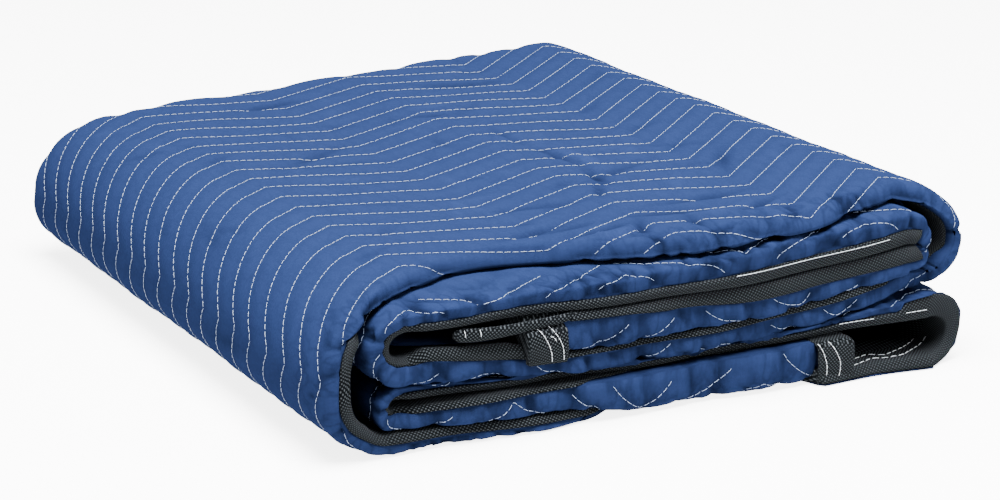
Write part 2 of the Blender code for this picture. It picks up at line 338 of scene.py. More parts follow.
def edge(station, side):
    """The front edge at a station; the back edge is plain."""
    rows = FRONT_EDGES.get(station.part)
    if side > 0 or rows is None:
        return Edge(0.0, 0.0, TAPE_FRONT_HEIGHT, 0.0, 0.0)
    before = [r for r in rows if r.at <= station.share][-1:] or [rows[0]]
    after = [r for r in rows if r.at >= station.share][:1] or [rows[-1]]
    first, last = before[0], after[0]
    t = smooth(first.at, last.at, station.share) if last.at > first.at else 0.0
    return Edge(*(a + (b - a) * t for a, b in zip(first, last)))


def tape_height(station, side):
    """How much of the edge the tape covers, measured from the face that it is folded over."""
    shape = edge(station, side)
    plain = min(shape.tape, thickness(station) + shape.push - LEAST_NOSE)
    if side > 0:
        plain = min(plain, TAPE_FRONT_SHARE * thickness(station))
    return plain + (ROLLED_TAPE - plain) * shape.rolled


def tape_width(station, side):
    if side < 0 and station.part == "lower_right":
        return TAPE_WIDTH + CORNER_TAPE
    if side < 0 and station.part in ("bottom", "hidden"):
        return TAPE_WIDTH + CORNER_TAPE * smooth(*CORNER_FROM, station.share)
    return TAPE_WIDTH


tape_heights = [tape_height(station, -1) for station in STATIONS]
print("the front tape is", round(min(tape_heights), 1), "to", round(max(tape_heights), 1), "mm tall")

# %% [markdown]
# The quilting lines
#
# Needles 25 mm apart run along the cloth while the frame shifts from side to side, so every
# line is the same zigzag. We could draw the lines as an image, but then they would blur close
# up. Instead we list where the lines turn and how far across the cloth one of them is there.
# Between two turns a line is straight, and the others lie 25 mm apart beside it. The turns on
# the top and on the front edges are where the photo has them. Inside the pile, where nothing
# shows, the zigzag just goes on.

# %% Zigzag
LINE_SPACING = 25.0

# The layer or fold, the x of the turn (or the share of a fold), and one line's y at the turn
Turn = namedtuple("Turn", "part at y")
TURNS = [Turn(*row) for row in (
    ("inner", -59.0, -240.0), ("inner", 22.0, -288.0), ("inner", 104.0, -248.0),
    ("inner", 172.0, -290.0), ("under_top", 151.0, -242.0), ("under_top", 63.0, -296.0),
    ("under_top", -23.0, -242.0), ("under_top", -113.0, -296.0), ("under_top", -166.0, -262.0),
    ("inner_left", 0.42, -285.0), ("inner_left", 0.85, -258.0), ("middle", -120.0, -296.0),
    ("middle", -36.0, -250.0), ("middle", 48.0, -296.0), ("middle", 133.0, -246.0),
    ("outer_right", 0.45, -290.0), ("top", 199.0, -230.2), ("top", 112.0, -294.7),
    ("top", 22.0, -250.7), ("top", -53.0, -280.7), ("top", -149.0, -242.7),
    ("outer_left", 0.46, -317.7), ("outer_left", 0.85, -290.0), ("bottom", -165.0, -262.0),
    ("bottom", -85.0, -310.0), ("bottom", 3.0, -266.0), ("bottom", 91.0, -310.0),
    ("bottom", 179.0, -266.0), ("hidden", 190.0, -262.0), ("hidden", 110.0, -306.0),
    ("hidden", 32.0, -262.0), ("hidden", -56.0, -306.0), ("hidden", -144.0, -262.0),
    ("lower_left", 0.5, -284.0), ("lower", -163.0, -258.0), ("lower", -100.0, -308.0),
    ("lower", -12.0, -250.0), ("lower", 76.0, -306.0), ("lower", 140.0, -256.0),
)]


def along_at(part, place):
    """How far along the cloth a place on a layer or fold is."""
    index = [i for i, s in enumerate(STATIONS) if s.part == part]
    shares = np.array([STATIONS[i].share for i in index])
    order = np.argsort(shares)
    return float(np.interp(place, shares[order], ALONG[index][order]))


turn_along = np.array([along_at(turn.part, turn.at) for turn in TURNS])
turn_y = np.array([turn.y for turn in TURNS])
order = np.argsort(turn_along)
turn_along, turn_y = turn_along[order], turn_y[order]
ZIGZAG = np.interp(ALONG, turn_along, turn_y)
print(len(TURNS), "turns, the lines swing", round(float(np.abs(np.diff(turn_y)).mean()), 1), "mm")


def from_line(zigzag, y):
    """How far a point is from the nearest quilting line, in millimetres across the cloth."""
    offset = (y - zigzag + LINE_SPACING / 2) % LINE_SPACING
    return offset - LINE_SPACING / 2

# %% [markdown]
# Rings round the sheet
#
# Round one station the sheet's surface runs along the outer face, over the rounded front edge
# to the tape, under the tape, along the other face and back over the rear edge. Every ring has
# numbered columns, and where the cloth is hidden inside the pile a ring leaves most of them out.
# Two rings are joined by walking along both and always stepping to the lower column number.

# %% Places in the pile
CORNER_DROOP = 0.055  # the back left corner sags by this share
DROOP_BACK = (120.0, 250.0)
DROOP_LEFT = (110.0, 200.0)


def to_metres(station, depth, y):
    """A point at this depth under the bound face, with the pile's rise to the back left."""
    share = depth / thickness(station)
    x = station.bound[0] + (station.outer[0] - station.bound[0]) * share
    z = station.bound[1] + (station.outer[1] - station.bound[1]) * share
    rise = 1 + BACK_RISE * (0.5 + y / PILE_DEPTH) * (0.5 - x / PILE_WIDTH)
    rise -= CORNER_DROOP * smooth(*DROOP_BACK, y) * smooth(*DROOP_LEFT, -x)
    return (x * MM, y * MM, z * rise * MM)


def edge_y(station, side, inset):
    """The y of a place this far inside the front edge (side -1) or the back edge (side 1)."""
    stand_back = station.front if side < 0 else station.back
    return side * (PILE_DEPTH / 2 - stand_back - inset)


print("the first station is at", [round(v / MM) for v in to_metres(STATIONS[0], 0.0, 0.0)], "mm")

# %% The rounded edges
SAG_STRETCH = (4.0, 34.0)
THINNEST_NOSE = 0.15


def smooth_drop(y, front):
    """How much of the sag a point this far from the front edge takes."""
    return 1 - smooth(*SAG_STRETCH, y - front)


def nose(station, side):
    """Where the rounded edge starts, as a depth, how tall it is and how far it curves back."""
    shape = edge(station, side)
    start = tape_height(station, side) + PIECE_GAP
    start += (LEAST_NOSE - start) * shape.rolled
    start -= shape.push
    height = max(thickness(station) + shape.hang - start, THINNEST_NOSE)
    back = EDGE_NOSE if station.seen or side > 0 else FULL_NOSE
    return start, height, back * min(height, thickness(station))


print("the first edge starts at a depth of", round(nose(STATIONS[0], -1)[0], 1), "mm")

# %% One ring
FACE_COLUMNS = 132
EDGE_COLUMNS = 10
NOSE_STEPS = 9
UNDER_COLUMNS = 4  # the turned face beside each edge
BOUND_COLUMNS = 24
RING_COLUMNS = FACE_COLUMNS + 1 + 2 * (NOSE_STEPS + UNDER_COLUMNS) + BOUND_COLUMNS - 1
SKIP = 14
REAR_COLUMNS = 6
COLUMN_EASE = 0.06  # columns stand closer together near the two edges
ROLL_BACK = 13.0  # how far an edge that is rolled under takes the tape back
NOSE_BULGE = 1.6
BLUNT_POWER = 0.7
ARC_SHARE = 1.1  # the arc of an edge is about this times the straight line over it


def ring_points(station):
    """Each column's (depth, y, across, kind). across is measured on the outer face and nose."""
    full = thickness(station)
    recess = TAPE_THICKNESS + PIECE_GAP
    points = []
    noses = {side: nose(station, side) for side in (-1, 1)}
    faces = {side: edge_y(station, side, noses[side][2]) for side in (-1, 1)}
    hang = edge(station, -1).hang
    for i in range(FACE_COLUMNS + 1):
        share = i / FACE_COLUMNS
        eased = share - COLUMN_EASE * math.sin(2 * math.pi * share)
        y = faces[-1] + (faces[1] - faces[-1]) * eased
        points.append((full + hang * smooth_drop(y, faces[-1]), y, y, "face"))
    for side in (1, -1):
        start, height, inset = noses[side]
        arc = ARC_SHARE * math.hypot(height, inset)
        shape = edge(station, side)
        power, bulge = (1.0, 0.0) if station.seen or side > 0 else (BLUNT_POWER, NOSE_BULGE)
        run = []
        for i in range(1, NOSE_STEPS + 1):
            angle = math.pi / 2 * i / NOSE_STEPS
            depth = start + height * abs(math.cos(angle)) ** power
            out = inset * (1 - math.sin(angle) ** power) - bulge * math.sin(2 * angle)
            across = faces[side] + side * arc * i / NOSE_STEPS
            run.append((depth, edge_y(station, side, out), across, "nose"))
        back = recess + ROLL_BACK * shape.rolled
        corner = edge_y(station, side, back)
        under = edge_y(station, side, back + tape_width(station, side) + PIECE_GAP - recess)
        turned = ((start, corner), (recess - shape.push, corner), (recess, under), (0.0, under))
        run += [(depth, y, 0.0, "under") for depth, y in turned]
        if side > 0:
            points += run
            back_under = under
            front_back = recess + ROLL_BACK * edge(station, -1).rolled
            front_under = edge_y(station, -1, front_back + tape_width(station, -1) + PIECE_GAP - recess)
            for i in range(1, BOUND_COLUMNS):
                y = back_under + (front_under - back_under) * i / BOUND_COLUMNS
                points.append((0.0, y, 0.0, "under"))
        else:
            points += run[::-1]
    return points


def kept_columns(station):
    """The columns that a ring has: all of them where the outer face shows."""
    if station.seen:
        return list(range(RING_COLUMNS))
    return [
        c for c in range(RING_COLUMNS)
        if c <= EDGE_COLUMNS or c >= FACE_COLUMNS - REAR_COLUMNS or c % SKIP == 0
    ]


print(RING_COLUMNS, "columns in a ring that shows,", len(kept_columns(STATIONS[0])), "inside the pile")

# %% [markdown]
# Relief of the cloth
#
# The thread pulls the faces together, so a line lies in a soft groove and the batting swells
# between two lines. The grooves are pressed in from the solid's surface, because a swelling
# could push one layer into the next. Slow waves and a few listed creases make the top
# as uneven as a blanket that was folded by hand.

# %% Creases
# On the top layer: the x and y of the middle, the length, the width, the depth and the direction
# in degrees from the x axis. A negative depth is a ridge.
CREASE_SCALE = 1.6  # the depths in the table are multiplied by this
Crease = namedtuple("Crease", "x y length width depth angle")
CREASES = (
    Crease(-12.0, -196.0, 26.0, 2.6, 2.4, 8.0),
    Crease(-16.0, -209.0, 30.0, 3.0, -1.8, 14.0),
    Crease(12.0, -204.0, 18.0, 3.0, 2.4, 70.0),
    Crease(-33.0, -222.0, 16.0, 2.6, 2.6, 62.0),
    Crease(-24.0, -216.0, 16.0, 3.2, -1.6, 66.0),
    Crease(-4.0, -226.0, 14.0, 2.6, 2.2, 72.0),
    Crease(-26.0, -182.0, 22.0, 2.8, 1.8, 4.0),
    Crease(44.0, -214.0, 16.0, 2.8, 2.2, 85.0),
    Crease(40.0, -190.0, 30.0, 4.0, 1.6, -20.0),
    Crease(-48.0, -176.0, 30.0, 3.2, 1.6, 10.0),
    Crease(74.0, -176.0, 40.0, 4.0, 1.5, -6.0),
    Crease(96.0, -208.0, 24.0, 3.2, 1.8, 20.0),
    Crease(-20.0, -130.0, 34.0, 3.5, 1.3, -12.0),
    Crease(60.0, -90.0, 34.0, 4.5, 1.2, 18.0),
    Crease(40.0, 28.0, 34.0, 2.6, 1.0, 88.0),
    Crease(46.0, -38.0, 34.0, 2.6, 1.8, 94.0),
    Crease(54.0, -46.0, 32.0, 5.0, -1.1, 92.0),
    Crease(42.0, -94.0, 26.0, 2.8, 2.0, 84.0),
    Crease(28.0, -122.0, 22.0, 2.8, 1.6, 66.0),
    Crease(14.0, -96.0, 18.0, 2.6, 1.0, 20.0),
    Crease(20.0, 110.0, 22.0, 3.0, 1.4, -28.0),
    Crease(130.0, -110.0, 36.0, 5.0, 1.3, 60.0),
    Crease(-90.0, 60.0, 40.0, 6.0, 1.2, 30.0),
    Crease(-60.0, 205.0, 30.0, 4.0, 1.5, 5.0),
    Crease(80.0, 180.0, 40.0, 5.0, 1.4, -25.0),
)


def crease_height(x, y):
    """The sum of all creases at one place on the top."""
    total = 0.0
    for c in CREASES:
        angle = math.radians(c.angle)
        along = (x - c.x) * math.cos(angle) + (y - c.y) * math.sin(angle)
        across = -(x - c.x) * math.sin(angle) + (y - c.y) * math.cos(angle)
        shape = math.exp(-2 * (along / c.length) ** 2 - (across / c.width) ** 2)
        total -= CREASE_SCALE * c.depth * shape
    return total


print(len(CREASES), "creases, the deepest", round(CREASE_SCALE * max(c.depth for c in CREASES), 1), "mm")

# %% Slow waves
def slow_waves(along, across):
    """Three sine waves of different lengths, in millimetres, that never repeat together."""
    return (
        0.5 * math.sin(along / 31 + 0.4 * math.sin(across / 47))
        + 0.5 * math.sin(across / 34 + 1.1 * math.sin(along / 58))
        + 0.4 * math.sin((along + 1.7 * across) / 23 + 2.0)
    )


print("the wave at the middle of the top is", round(slow_waves(0.0, 0.0), 2), "mm")

# %% Puckers
# Where the thread gathers a front edge: the layer, its x, the width and the depth
Pucker = namedtuple("Pucker", "part x width depth")
PUCKER_EDGE = -240.0
PUCKER_REACH = 26.0
PUCKERS = [Pucker(*row) for row in (
    ("under_top", -158.0, 4.0, 1.2), ("under_top", -120.0, 5.0, 1.0), ("under_top", -92.0, 4.0, 1.0),
    ("under_top", -50.0, 3.0, 1.8), ("under_top", -31.0, 5.0, 1.0), ("under_top", -2.0, 4.0, 1.2),
    ("under_top", 34.0, 5.0, 1.4), ("under_top", 60.0, 4.0, 1.2), ("under_top", 88.0, 4.0, 1.0),
    ("under_top", 118.0, 5.0, 1.2), ("under_top", 150.0, 5.0, 1.0), ("inner", -40.0, 4.0, 1.5),
    ("inner", -12.0, 5.0, 1.2), ("inner", 30.0, 5.0, 1.2), ("inner", 66.0, 4.0, 1.4),
    ("inner", 112.0, 5.0, 1.6), ("inner", 150.0, 4.0, 1.4), ("middle", -150.0, 4.0, 1.6),
    ("middle", -115.0, 5.0, 1.4), ("middle", -70.0, 5.0, 1.0), ("middle", -10.0, 5.0, 1.4),
    ("middle", 60.0, 5.0, 1.2), ("middle", 100.0, 4.0, 1.4), ("middle", 141.0, 5.0, 1.4),
    ("lower", -150.0, 4.0, 1.4), ("lower", -112.0, 4.0, 1.2), ("lower", -60.0, 5.0, 1.4),
    ("lower", -8.0, 5.0, 1.2), ("lower", 44.0, 5.0, 1.4), ("lower", 90.0, 5.0, 1.0),
    ("top", -112.0, 6.0, 1.4), ("top", -70.0, 5.0, 1.2), ("top", -18.0, 4.0, 2.0),
    ("top", 8.0, 4.0, 1.6), ("top", 46.0, 4.0, 1.8), ("top", 84.0, 5.0, 1.2),
    ("top", 150.0, 5.0, 1.2), ("bottom", -140.0, 6.0, 1.0), ("bottom", -90.0, 6.0, 1.0),
)]


def pucker_depth(station, across):
    """How deep the puckers press in near a layer's front edge."""
    near = 1 - smooth(0.0, PUCKER_REACH, across - PUCKER_EDGE)
    depth = 0.0
    for pucker in PUCKERS:
        if pucker.part == station.part:
            depth += pucker.depth * math.exp(-(((station.share - pucker.x) / pucker.width) ** 2))
    return depth * near


print(len(PUCKERS), "puckers along the front edges")

# %% Height of the surface
GROOVE_DEPTH = 1.5
GROOVE_WIDTH = 5.0
FOLD_GROOVE = 0.7  # round a fold the cloth is pulled tight, so the grooves are shallower
WAVE_HEIGHT = 0.7

# How strongly grooves and puckers press in on the edges, on the two lowest edges and inside
EDGE_PULL = 1.2
LOW_EDGE_PULL = 0.6
INSIDE_PULL = 0.7

# How much of a groove or crease counts as a narrow fold, which the finish paints darker as shade (a
# ridge lighter, as painted light)
EDGE_GROOVE_SHADE = 0.4
FACE_GROOVE_SHADE = 0.25
CREASE_SHADE = 0.55


def relief(index, across, kind):
    """How far the surface stands out of the solid, and how much of that is a narrow fold, which the
    finish paints as shade.
    """
    station = STATIONS[index]
    if kind == "under":
        return 0.0, 0.0
    off_line = from_line(ZIGZAG[index], across)
    groove = -GROOVE_DEPTH * math.exp(-((off_line / GROOVE_WIDTH) ** 2))
    pucker = -pucker_depth(station, across)
    if kind == "nose" or not station.seen:
        pull = INSIDE_PULL
        if kind == "nose":
            pull = LOW_EDGE_PULL if station.part in ("lower", "bottom") else EDGE_PULL
        return pull * (groove + pucker), EDGE_GROOVE_SHADE * groove + pucker
    if station.part == "top":
        narrow = pucker + crease_height(station.share, across)
    else:
        groove *= FOLD_GROOVE
        narrow = pucker
    height = groove + narrow + WAVE_HEIGHT * slow_waves(ALONG[index], across)
    return height, FACE_GROOVE_SHADE * groove + CREASE_SHADE * narrow


print("a groove is", GROOVE_DEPTH, "mm deep and about", 2 * GROOVE_WIDTH, "mm wide")

# %% [markdown]
# Small wrinkles
#
# Thin polyester over batting never lies smooth. Short wrinkles run over every front edge, most
# of them square to it, because the stitching takes up more of one face than of the other. Their
# places come from a fixed seed, so that the model is the same each time.

# %% Wrinkles
Wrinkle = namedtuple("Wrinkle", "x y length width depth angle")
Ranges = namedtuple("Ranges", "y length width depth")
AT_THE_EDGE = Ranges((-262, -226), (5, 17), (1.5, 3.0), (0.6, 2.1))
ALL_OVER = Ranges((-235, 255), (10, 34), (2.6, 4.6), (-0.5, 0.7))
EDGE_TURN = 26  # degrees by which the wrinkles at an edge stray from square to it
EDGE_PER_100_MM = 15
TOP_WRINKLES = 150
TOP_STRETCH = 550
rng = np.random.default_rng(11)
PARTS = sorted({s.part for s in STATIONS})


def draw(first, last, ranges):
    """Where a wrinkle is along the cloth, and its values from the ranges."""
    return [rng.uniform(first, last)] + [rng.uniform(*limits) for limits in ranges]


def scatter():
    """The wrinkles of each part: a row along the front edge, and a few all over the top."""
    found = {}
    for part in PARTS:
        alongs = [ALONG[i] for i, s in enumerate(STATIONS) if s.part == part]
        first, last = min(alongs), max(alongs)
        rows = []
        for _ in range(max(int((last - first) / 100 * EDGE_PER_100_MM), 3)):
            rows.append(Wrinkle(*draw(first, last, AT_THE_EDGE), 90 + rng.normal(0, EDGE_TURN)))
        if part in EXPOSED:
            for _ in range(int(TOP_WRINKLES * (last - first) / TOP_STRETCH)):
                rows.append(Wrinkle(*draw(first, last, ALL_OVER), rng.uniform(0, 180)))
        found[part] = rows
    return found


WRINKLES = scatter()


def wrinkle_heights(parts, alongs, acrosses):
    """The summed depth of the wrinkles at every point."""
    heights = np.zeros(len(parts))
    for number, part in enumerate(PARTS):
        chosen = np.nonzero(parts == number)[0]
        a, c = alongs[chosen], acrosses[chosen]
        total = np.zeros(len(chosen))
        for w in WRINKLES[part]:
            turn = math.radians(w.angle)
            u = (a - w.x) * math.cos(turn) + (c - w.y) * math.sin(turn)
            v = -(a - w.x) * math.sin(turn) + (c - w.y) * math.cos(turn)
            total -= w.depth * np.exp(-2 * (u / w.length) ** 2 - (v / w.width) ** 2)
        heights[chosen] = total
    return heights


print(sum(len(rows) for rows in WRINKLES.values()), "small wrinkles")

# %% [markdown]
# The quilted sheet as one closed mesh
#
# The points are laid out first. Then every point on the outer face moves along its own normal
# by the relief, so that grooves run over the edges and round the folds as sewn lines do.

# %% Faces between two rings
def join_rings(first, second):
    """Faces between two rings of (column, vertex), closed round the sheet."""
    a = first + [(first[0][0] + RING_COLUMNS, first[0][1])]
    b = second + [(second[0][0] + RING_COLUMNS, second[0][1])]
    i = j = 0
    faces = []
    while i < len(a) - 1 or j < len(b) - 1:
        next_a = a[i + 1][0] if i < len(a) - 1 else math.inf
        next_b = b[j + 1][0] if j < len(b) - 1 else math.inf
        if next_a == next_b:
            faces.append((a[i][1], a[i + 1][1], b[j + 1][1], b[j][1]))
            i += 1
            j += 1
        elif next_a < next_b:
            faces.append((a[i][1], a[i + 1][1], b[j][1]))
            i += 1
        else:
            faces.append((a[i][1], b[j + 1][1], b[j][1]))
            j += 1
    return faces


def vertex_normals(points, faces):
    """The direction that the surface faces at every point."""
    normals = np.zeros_like(points)
    for count in (3, 4):
        group = np.array([f for f in faces if len(f) == count])
        if len(group):
            a, b, c = points[group[:, 0]], points[group[:, 1]], points[group[:, 2]]
            d = points[group[:, -1]]
            normal = np.cross(c - a, d - b) if count == 4 else np.cross(b - a, c - a)
            for k in range(count):
                np.add.at(normals, group[:, k], normal)
    return normals / np.maximum(np.linalg.norm(normals, axis=1, keepdims=True), 1e-12)


full_ring = [(column, column) for column in range(RING_COLUMNS)]
print(len(join_rings(full_ring, full_ring)), "faces between two full rings")

# %% Laying out the rings
# Of every point: its place, how high it will stand out, its facts for the finish (how far along
# and across the cloth, and the narrow relief) and the number of its layer or fold
Sheet = namedtuple("Sheet", "points heights facts parts rings skins")


def lay_out():
    """The sheet before its relief."""
    points, heights, facts, parts, rings, skins = [], [], [], [], [], []
    for index, station in enumerate(STATIONS):
        ring, skin = [], []
        columns = ring_points(station)
        for column in kept_columns(station):
            depth, y, across, kind = columns[column]
            vertex = len(points)
            points.append(to_metres(station, depth, y))
            height, narrow = relief(index, across, kind)
            heights.append(height)
            parts.append(-1 if kind == "under" else PARTS.index(station.part))
            facts.append((ALONG[index], across, narrow))
            ring.append((column, vertex))
            if kind != "under":
                skin.append((across, vertex))
        rings.append(ring)
        skins.append(sorted(skin))
    columns = (np.array(values) for values in (points, heights, facts, parts))
    return Sheet(*columns, rings, skins)


def close_sheet(rings):
    """Faces round the sheet from ring to ring, and one over each end."""
    faces = []
    for first, second in zip(rings, rings[1:]):
        faces += join_rings(first, second)
    faces.append(tuple(v for _, v in rings[0])[::-1])
    faces.append(tuple(v for _, v in rings[-1]))
    return faces


flat_sheet = lay_out()
print(len(flat_sheet.points), "points in", len(flat_sheet.rings), "rings")

# %% Raising the relief
def raise_relief(sheet):
    """Every point moved out along its normal by the relief and the wrinkles."""
    points, facts = sheet.points, sheet.facts.copy()
    faces = close_sheet(sheet.rings)
    wrinkles = wrinkle_heights(sheet.parts, facts[:, 0], facts[:, 1])
    heights = sheet.heights + wrinkles
    # the wrinkles also join the narrow relief that the finish paints as shade
    facts[:, 2] += wrinkles
    normals = vertex_normals(points, [f for f in faces if len(f) <= 4])
    middle_ring = sheet.rings[len(sheet.rings) // 2]
    middle = points[[v for _, v in middle_ring]].mean(axis=0)
    sample = middle_ring[FACE_COLUMNS // 4][1]
    if (points[sample] - middle) @ normals[sample] < 0:
        normals = -normals
        faces = [f[::-1] for f in faces]
    points = points + normals * heights[:, None] * MM
    points[:, 2] = np.maximum(points[:, 2], 0.0)
    return points, faces, facts, normals


SKINS = flat_sheet.skins
SHEET, SHEET_FACES, SHEET_FACTS, NORMALS = raise_relief(flat_sheet)
print("blanket", len(SHEET), "points,", sum(len(f) - 2 for f in SHEET_FACES), "triangles")

# %% The blanket
def make_mesh(name, points, faces):
    """A smooth shaded piece from its points, in metres, and its faces."""
    mesh = bpy.data.meshes.new(name)
    mesh.from_pydata([tuple(p) for p in points], [], [tuple(map(int, f)) for f in faces])
    mesh.update()
    mesh.shade_smooth()
    piece = bpy.data.objects.new(name, mesh)
    bpy.context.scene.collection.objects.link(piece)
    return piece


blanket = make_mesh("blanket", SHEET, SHEET_FACES)
cloth_place = blanket.data.attributes.new("cloth_place", "FLOAT_VECTOR", "POINT")
cloth_place.data.foreach_set("vector", SHEET_FACTS.astype(np.float32).ravel())
print("blanket size", [round(float(v) / MM, 1) for v in np.ptp(SHEET, axis=0)], "mm")

# %% [markdown]
# Quilting thread
#
# From far away a sewn line looks like a row of short dashes: the thread lies on the cloth for
# one stitch and goes down through it between two. We follow each line over the finished
# surface and lay a small bowed capsule for every stitch, all of them joined into one mesh.

# %% Stitches along the lines
STITCH_LENGTH = 4.3
STITCH_GAP = 0.6
FIRST_GAP = 0.4  # a line starts with this share of a gap
THREAD_RADIUS = 0.17
THREAD_SIDES = 4
SHORTEST_RUN = 3
LINES = range(-16, 36)
UNDER_PILE = (-244.0, 246.0)  # past these the bottom layer's stitches can be seen
INSIDE_PILE = (-218.0, 236.0)  # and past these the stitches of a layer inside the pile

# One stitch: how far along, how high over the cloth and how thick, so that it bows and dips
ThreadRing = namedtuple("ThreadRing", "share lift width")
THREAD_RINGS = [ThreadRing(*row) for row in (
    (0.0, -0.15, 0.6), (0.12, 0.18, 1.0), (0.5, 0.3, 1.0), (0.88, 0.18, 1.0), (1.0, -0.15, 0.6),
)]


def skin_point(index, across):
    """The place and normal on the finished surface, or None off the edge."""
    skin = SKINS[index]
    places = [a for a, _ in skin]
    if not places[0] <= across <= places[-1]:
        return None
    k = int(np.searchsorted(places, across, side="right")) - 1
    k = min(max(k, 0), len(skin) - 2)
    (a, va), (b, vb) = skin[k], skin[k + 1]
    t = 0.0 if b - a < 1e-9 else (across - a) / (b - a)
    place = SHEET[va] * (1 - t) + SHEET[vb] * t
    normal = NORMALS[va] * (1 - t) + NORMALS[vb] * t
    return place / MM, normal / max(np.linalg.norm(normal), 1e-9)


def line_runs():
    """Every quilting line as runs of (place, normal) where it shows."""
    runs = []
    for line in LINES:
        run = []
        for index, station in enumerate(STATIONS):
            across = ZIGZAG[index] + LINE_SPACING * line
            found = skin_point(index, across) if shows(station, across) else None
            if found is None:
                if len(run) > SHORTEST_RUN:
                    runs.append(run)
                run = []
            else:
                run.append(found)
        if len(run) > SHORTEST_RUN:
            runs.append(run)
    return runs


def shows(station, across):
    """Stitches are laid where the cloth can be seen: outside the pile and near the edges."""
    if station.seen:
        return True
    low, high = UNDER_PILE if station.part == "bottom" else INSIDE_PILE
    return across < low or across > high


print(len(LINES), "quilting lines are followed over", len(STATIONS), "stations")

# %% One stitch
def distances(places):
    """How far along a row of places each one is."""
    return np.concatenate([[0], np.cumsum(np.linalg.norm(np.diff(places, axis=0), axis=1))])


def between(mark, along, values):
    """The values at one distance along a row, between those of its neighbours."""
    return [np.interp(mark, along, values[:, k]) for k in range(values.shape[1])]


def stitch(points, faces, path, normals):
    """One stitch: a thin bowed capsule along a short path."""
    base = len(points)
    places = np.array(path)
    normals = np.array(normals)
    along = distances(places)
    direction = places[-1] - places[0]
    direction = direction / max(np.linalg.norm(direction), 1e-9)
    for part in THREAD_RINGS:
        mark = part.share * along[-1]
        normal = np.array(between(mark, along, normals))
        normal = normal / max(np.linalg.norm(normal), 1e-9)
        side = np.cross(direction, normal)
        centre = np.array(between(mark, along, places)) + normal * part.lift
        radius = THREAD_RADIUS * part.width
        for k in range(THREAD_SIDES):
            angle = 2 * math.pi * (k + 0.5) / THREAD_SIDES
            place = centre + side * math.cos(angle) * radius + normal * math.sin(angle) * radius
            points.append(place * MM)
    n = THREAD_SIDES
    for ring in range(len(THREAD_RINGS) - 1):
        for k in range(n):
            a = base + ring * n + k
            b = base + ring * n + (k + 1) % n
            faces.append((a, a + n, b + n, b))
    last = base + (len(THREAD_RINGS) - 1) * n
    faces.append(tuple(range(base, base + n)))
    faces.append(tuple(range(last + n - 1, last - 1, -1)))


def sew(points, faces, run, length=STITCH_LENGTH, gap=STITCH_GAP):
    """Stitches of one length along a run of (place, normal)."""
    places = np.array([p for p, _ in run])
    normals = np.array([n for _, n in run])
    along = distances(places)
    start = FIRST_GAP * gap
    while start + length < along[-1]:
        marks = [start] + [a for a in along if start < a < start + length] + [start + length]
        path = [between(mark, along, places) for mark in marks]
        facing = [between(mark, along, normals) for mark in marks]
        stitch(points, faces, path, facing)
        start += length + gap


print("a stitch has", len(THREAD_RINGS) * THREAD_SIDES, "points")

# %% Sewing the lines
thread_points, thread_faces = [], []
for run in line_runs():
    sew(thread_points, thread_faces, run)
quilting = make_mesh("quilting_thread", thread_points, thread_faces)
print(len(thread_points) // (THREAD_SIDES * len(THREAD_RINGS)), "stitches")

# %% [markdown]
# Woven tape
#
# The tape is folded over the rim: it covers a strip of one face and turns over the edge. A
# strip that is sewn down tight bulges between its folds, so the part that we see from the front
# is a little rounded.

# %% A tube of tape
def quarter_turn(radius):
    """Points round a rounded corner, as the depth from the face and the inset from the edge."""
    angles = [math.pi / 2 * i / 3 for i in range(4)]
    return [(radius * (1 - math.cos(a)), radius * (1 - math.sin(a))) for a in angles]


def tube_faces(rings):
    """The faces of a tube through rings of points, with both ends shut."""
    faces = []
    for a, b in zip(rings, rings[1:]):
        for k in range(len(a)):
            j = (k + 1) % len(a)
            faces.append((a[k], a[j], b[j], b[k]))
    return faces + [tuple(rings[0][::-1]), tuple(rings[-1])]


def tape_piece(name, points, rings, facts):
    """A tape as one closed mesh, with the places of its yarns stored on its points."""
    piece = make_mesh(name, points, tube_faces(rings))
    place = piece.data.attributes.new("cloth_place", "FLOAT_VECTOR", "POINT")
    place.data.foreach_set("vector", np.array(facts, np.float32).ravel())
    print(name, len(rings), "rings,", len(points), "points")
    return piece

# %% Edge tapes
TAPE_BULGE = 1.3
FULL_BULGE = 7.0  # a tape that is less tall than this bulges less
BULGE_STEPS = 6
BULGE_POWER = 0.8
TAPE_ROUND = 2.4
ROUND_SPACING = 1.2  # along the tape's width, from one point of the rounded corner to the next
PUSH_INSETS = (2.0, 34.0)  # a tape that is pushed up comes back to its layer between these


def tape_ring(station, side):
    """The tape's section as (depth, inset, across) from the face to the edge and back inside."""
    tape = tape_height(station, side)
    wide = tape_width(station, side)
    push = edge(station, side).push
    corner = min(TAPE_ROUND, 0.8 * tape)
    points = [(0.0, wide, 0.0)] + [(0.0, inset, TAPE_WIDTH - inset) for inset in (24.0, 12.0)]
    for i, (depth, inset) in enumerate(quarter_turn(corner)):
        points.append((depth, inset, TAPE_WIDTH - corner + ROUND_SPACING * i))
    bulge = TAPE_BULGE * (1 - edge(station, side).rolled) * min(1.0, tape / FULL_BULGE)
    for i in range(1, BULGE_STEPS + 1):
        share = i / BULGE_STEPS
        down = (tape - corner) * share
        inset = -bulge * math.sin(math.pi * share) ** BULGE_POWER
        points.append((corner + down, inset, TAPE_WIDTH + ROUND_SPACING + down))
    points += [
        (tape, TAPE_THICKNESS, TAPE_WIDTH + tape), (TAPE_THICKNESS, TAPE_THICKNESS, TAPE_WIDTH),
        (TAPE_THICKNESS, wide, 0.0),
    ]
    back = ROLL_BACK * edge(station, side).rolled
    return [
        (depth - push * (1 - smooth(*PUSH_INSETS, inset)), inset + back, across)
        for depth, inset, across in points
    ]


